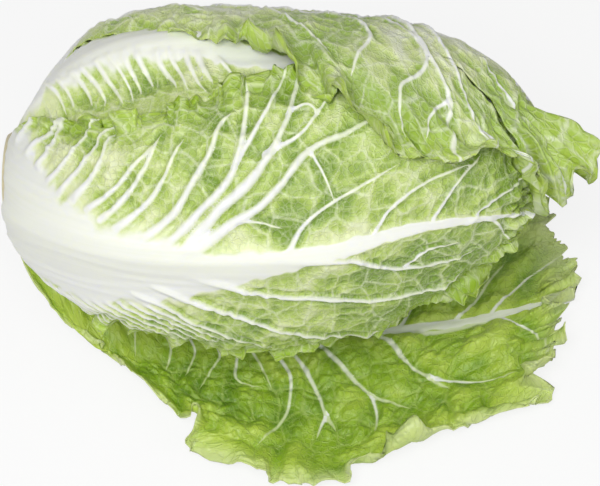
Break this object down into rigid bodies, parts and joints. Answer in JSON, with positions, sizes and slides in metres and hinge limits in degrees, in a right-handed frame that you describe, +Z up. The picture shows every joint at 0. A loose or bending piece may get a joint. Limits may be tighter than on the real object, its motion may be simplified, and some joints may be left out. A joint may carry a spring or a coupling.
{
  "type": "napa cabbage",
  "caption": "A barrel-shaped head of napa cabbage lying on its side: broad white leaf ribs, pale crinkled leaves wrapped round a heart, and one outer leaf spread flat underneath.",
  "frame": {"origin": "on the flat underside of the spread leaf, where it lies on the surface, straight below the head's axis and 150 mm from the base of the head", "axes": "+X along the head from its stump to its tip; -Y towards the side on which the spread leaf lies out; +Z up from the surface it lies on"},
  "size_m": [0.3151, 0.2253, 0.1878],
  "materials": {
    "cut_stump": "fresh cut cabbage core, moist and matt, stood in for by matte plastic",
    "heart_leaves": "pale yellow heart leaves, waxy, stood in for by plastic",
    "inner_leaves": "pale yellow-green inner leaves with white ribs, waxy, stood in for by plastic",
    "outer_leaves": "light green crinkled outer leaves with broad white ribs, waxy and lightly shiny, stood in for by plastic",
    "spread_leaf": "mid green crinkled leaf with a pale rib, waxy and lightly shiny, stood in for by plastic"
  },
  "bodies": {
    "root": {"stump": "cut_stump", "heart": "heart_leaves", "inner_leaf_21": "inner_leaves", "inner_leaf_20": "inner_leaves", "inner_leaf_19": "inner_leaves", "inner_leaf_18": "inner_leaves", "inner_leaf_17": "inner_leaves", "inner_leaf_16": "inner_leaves", "inner_leaf_15": "inner_leaves", "inner_leaf_14": "inner_leaves", "inner_leaf_13": "inner_leaves", "inner_leaf_12": "inner_leaves", "inner_leaf_11": "inner_leaves", "inner_leaf_10": "inner_leaves", "inner_leaf_09": "inner_leaves", "inner_leaf_08": "inner_leaves", "inner_leaf_07": "inner_leaves", "inner_leaf_06": "inner_leaves", "inner_leaf_05": "inner_leaves", "upper_leaf": "outer_leaves", "underside_leaf": "outer_leaves", "front_leaf": "outer_leaves", "top_leaf": "outer_leaves", "spread_leaf": "spread_leaf"}
  },
  "joints": []
}
